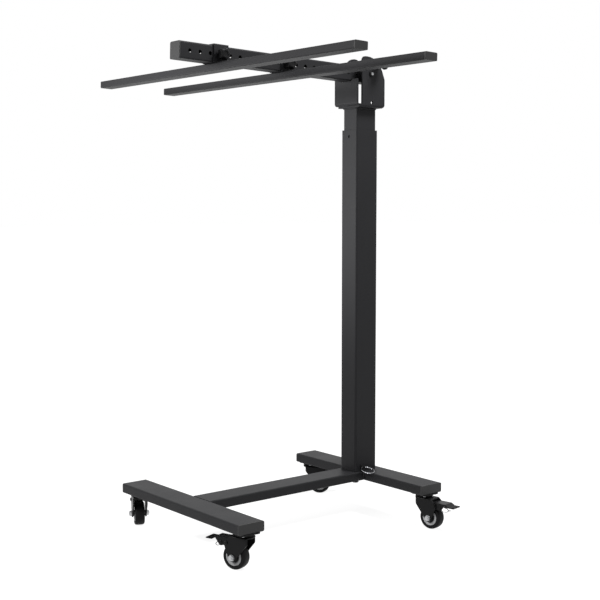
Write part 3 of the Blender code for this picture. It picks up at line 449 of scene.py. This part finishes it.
def in_castor(stem, heading, points):
    """Points (trail, across, height) of a castor, turned to its heading about its stem."""
    trail, across, height = np.asarray(points, float).T
    return np.stack([stem[0] + trail * cos(heading) - across * sin(heading),
                     stem[1] + trail * sin(heading) + across * cos(heading), height], -1)


def smooth(points, count):
    """A smooth run through points: a cubic between each pair. Its slope at a point is half the chord between
    the two neighbours, and at an end it is the chord to the only one."""
    points = np.asarray(points, float)
    slope = np.gradient(points, axis=0)
    at = np.linspace(0, len(points) - 1, count)
    i = np.minimum(at.astype(int), len(points) - 2)
    t = (at - i)[:, None]
    return ((2 * t ** 3 - 3 * t ** 2 + 1) * points[i] + (t ** 3 - 2 * t ** 2 + t) * slope[i]
            + (3 * t ** 2 - 2 * t ** 3) * points[i + 1] + (t ** 3 - t ** 2) * slope[i + 1])


def wheel(name, heading):
    """The rim, the hub with its bearing ring, and the tyre, each from one half of its profile: pairs of the
    radius and the distance from the wheel's middle."""
    middle = joints[name + "_roll"]["pos_m"]
    body = name + "_wheel"
    rim = [(0.0110, 0.0062), (0.0111, 0.0080), (0.0118, 0.0094), (0.0140, 0.0104), (0.0160, 0.0105),
           (0.0168, 0.0100), (0.0170, 0.0092)]
    piece = skin(name + "_rim", turned(middle, heading, rim), body, wheel_grey, ring=True)
    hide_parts(name + "_wheel")
    hub = [(0.0033, 0.0129), (0.0060, 0.0129), (0.0062, 0.0120), (0.0066, 0.0074), (0.0070, 0.0068),
           (0.0084, 0.0068), (0.0087, 0.0060), (0.0109, 0.0058)]
    skin(name + "_hub", turned(middle, heading, hub), body, hub_black, ring=True)
    tyre = [(0.0173, 0.0094), (0.0176, 0.0103), (0.0186, 0.0105), (0.0222, 0.0104), (0.0236, 0.0096),
            (0.0245, 0.0078), (0.02492, 0.0050), (0.0250, 0.0020)]
    piece = skin(name + "_tread", turned(middle, heading, tyre), body, tread, ring=True)
    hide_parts(name + "_tyre")


def plate(name, stem):
    """Four fixing screws under the plate's corners, and the rolled lip of the race."""
    thick = 0.0025
    screw_place = 0.0162
    race_radius = 0.0180
    race_drop = 0.0030
    race_steps = 72
    lip_radius = 0.0007
    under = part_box(name + "_plate")[1].z - thick
    for number, (dx, dy) in enumerate(((1, 1), (-1, 1), (-1, -1), (1, -1))):
        foot = (stem[0] + screw_place * dx, stem[1] + screw_place * dy, under)
        headed(f"{name}_plate_screw_{number}", foot, (0, 0, -1), radius=0.0036, height=0.0020, body="base")
    turn = np.linspace(0, 2 * pi, race_steps, endpoint=False)
    race = np.stack([stem[0] + race_radius * np.cos(turn), stem[1] + race_radius * np.sin(turn),
                     np.full(race_steps, under - race_drop)], -1)
    lip = along_path(race, lip_radius, around=8, closed=True)
    skin(name + "_race_lip", lip, "base", black_steel, ring=True)


def pedal(name, stem, heading):
    """The heads of the pedal's pin and of its cheek rivet, three grip ridges, and the brake's wire spring."""
    body = name + "_pedal"
    axle = np.array((-sin(heading), cos(heading), 0))
    pin = (0.0330, 0.0525)
    pin_reach = 0.0161
    cheek = (0.0475, 0.0510)
    cheek_reach = 0.0129
    for number, ((trail, height), reach) in enumerate(((pin, pin_reach), (cheek, cheek_reach))):
        for end, out in (("left", axle), ("right", -axle)):
            foot = in_castor(stem, heading, [(trail, 0.0, height)])[0] + reach * out
            headed(f"{name}_pedal_rivet_{number}_{end}", foot, out, radius=0.0030, height=0.0018, body=body)

    ridge_radius = 0.0009
    ridge_half = 0.0115
    ridge_height = 0.0553
    ridge_steps = 8
    ridge_across = np.linspace(-ridge_half, ridge_half, ridge_steps)
    for number, trail in enumerate((0.0712, 0.0752, 0.0792)):
        ridge = in_castor(stem, heading, [(trail, across, ridge_height) for across in ridge_across])
        skin(f"{name}_pedal_ridge_{number}", along_path(ridge, ridge_radius), body, black_steel)

    spring_radius = 0.0008
    half = [(0.0475, 0.0100, 0.0505), (0.0500, 0.0098, 0.0465), (0.0545, 0.0094, 0.0428),
            (0.0600, 0.0085, 0.0422), (0.0630, 0.0060, 0.0440), (0.0640, 0.0, 0.0452)]
    loop = half + [(trail, -across, height) for trail, across, height in half[-2::-1]]
    wire = smooth(in_castor(stem, heading, loop), count=60)
    skin(name + "_brake_spring", along_path(wire, spring_radius, around=8), body, zinc)


for castor in ("front_left", "front_right", "rear_left", "rear_right"):
    stem = joints[castor + "_swivel"]["pos_m"]
    roll_axis = joints[castor + "_roll"]["axis"]
    heading = atan2(-roll_axis[0], roll_axis[1])
    wear([castor + "_plate", castor + "_fork", castor + "_pedal"], black_steel)
    wear([castor + "_axle"], zinc)
    wheel(castor, heading)
    plate(castor, stem)
    pedal(castor, stem, heading)


# Studio floor and world: both white to the camera and in reflections, while the world sends little light of
# its own and the floor is a pale grey to the lamps. So the background is white and keeps a soft shadow.

def seen(material):
    """1 for a ray from the camera, off a shiny surface or through a clear one, and 0 for any other."""
    rays = add(material, "ShaderNodeLightPath")
    mirrored = add(material, "ShaderNodeMath", {"operation": "MAXIMUM"},
                   [(0, rays, "Is Camera Ray"), (1, rays, "Is Glossy Ray")])
    return add(material, "ShaderNodeMath", {"operation": "MAXIMUM"},
               [(0, mirrored, "Value"), (1, rays, "Is Transmission Ray")])


half_side = 30.0
glow_near = 0.90             # the floor's own glow under the stand, where the shadow has to show
glow_far = 1.0
near = 0.5                   # the glow rises from here out to far, both from the stand's middle
far = 2.2
mesh = bpy.data.meshes.new("floor")
mesh.from_pydata([(-half_side, -half_side, 0), (half_side, -half_side, 0), (half_side, half_side, 0),
                  (-half_side, half_side, 0)], [], [(0, 1, 2, 3)])
floor = bpy.data.objects.new("floor", mesh)
bpy.context.scene.collection.objects.link(floor)
floor_paint, shader = new_material("studio floor")
shader.inputs["Base Color"].default_value = linear("#b4b4b4")
shader.inputs["Roughness"].default_value = 0.9
shader.inputs["Specular IOR Level"].default_value = 0.0
shader.inputs["Emission Color"].default_value = (1, 1, 1, 1)
place = add(floor_paint, "ShaderNodeTexCoord")
away = add(floor_paint, "ShaderNodeVectorMath", {"operation": "LENGTH"}, [("Vector", place, "Object")])
level = add(floor_paint, "ShaderNodeMapRange",
            {"From Min": near, "From Max": far, "To Min": glow_near, "To Max": glow_far},
            [("Value", away, "Value")])
glow = add(floor_paint, "ShaderNodeMath", {"operation": "MULTIPLY"},
           [(0, seen(floor_paint), "Value"), (1, level, "Result")])
floor_paint.node_tree.links.new(glow.outputs["Value"], shader.inputs["Emission Strength"])
mesh.materials.append(floor_paint)

world_light = 0.1
world = bpy.data.worlds.new("studio")
bpy.context.scene.world = world
world.use_nodes = True
sky = world.node_tree.nodes["Background"]
sky.inputs["Color"].default_value = (1, 1, 1, 1)
level = add(world, "ShaderNodeMapRange", {"To Min": world_light, "To Max": 1.0},
            [("Value", seen(world), "Value")])
world.node_tree.links.new(level.outputs["Result"], sky.inputs["Strength"])


# Lamps: a long low strip for the bars and the arm, a soft spot from the left for the column, and a small
# softbox above for the tops. Faces towards -Y come out lighter than those towards +X, as photographed.

def facing(aim):
    """The turn that points an object's -Z along a direction, with its X level."""
    return atan2(np.hypot(aim[0], aim[1]), -aim[2]), 0, atan2(aim[1], aim[0]) - pi / 2


def lamp(name, kind, place, aim, power):
    """A lamp at a place, turned to face a point."""
    light = bpy.data.lights.new(name, kind)
    light.energy = power
    holder = bpy.data.objects.new(name, light)
    bpy.context.scene.collection.objects.link(holder)
    holder.location = place
    holder.rotation_euler = facing(np.array(aim) - np.array(place))
    return light


strip = lamp("front strip", "AREA", place=(-0.2, -1.3, 1.08), aim=(0, 0.1, 0.93), power=12)
strip.shape = "RECTANGLE"
strip.size = 1.2
strip.size_y = 0.1
spot = lamp("column spot", "SPOT", place=(-0.9, -1.2, 0.62), aim=(0, 0.17, 0.80), power=66)
spot.spot_size = radians(36)
spot.spot_blend = 1.0
spot.shadow_soft_size = 0.1
top = lamp("top softbox", "AREA", place=(0.7, 0.5, 2.0), aim=(0, 0.1, 0.9), power=23)
top.size = 0.5


# Camera: at the photograph's viewing angle, from the stand's front right and a little above its middle,
# with the photograph's frame.

camera_data = bpy.data.cameras.new("camera")
camera_data.lens = 69.27
camera_data.sensor_width = 36.0
camera_data.clip_end = 100.0
camera = bpy.data.objects.new("camera", camera_data)
bpy.context.scene.collection.objects.link(camera)
camera.location = (1.90779, -1.51091, 0.68774)
view_direction = (-0.77468, 0.62692, -0.08266)
camera.rotation_euler = facing(view_direction)
bpy.context.scene.camera = camera
bpy.context.scene.view_settings.view_transform = "Standard"
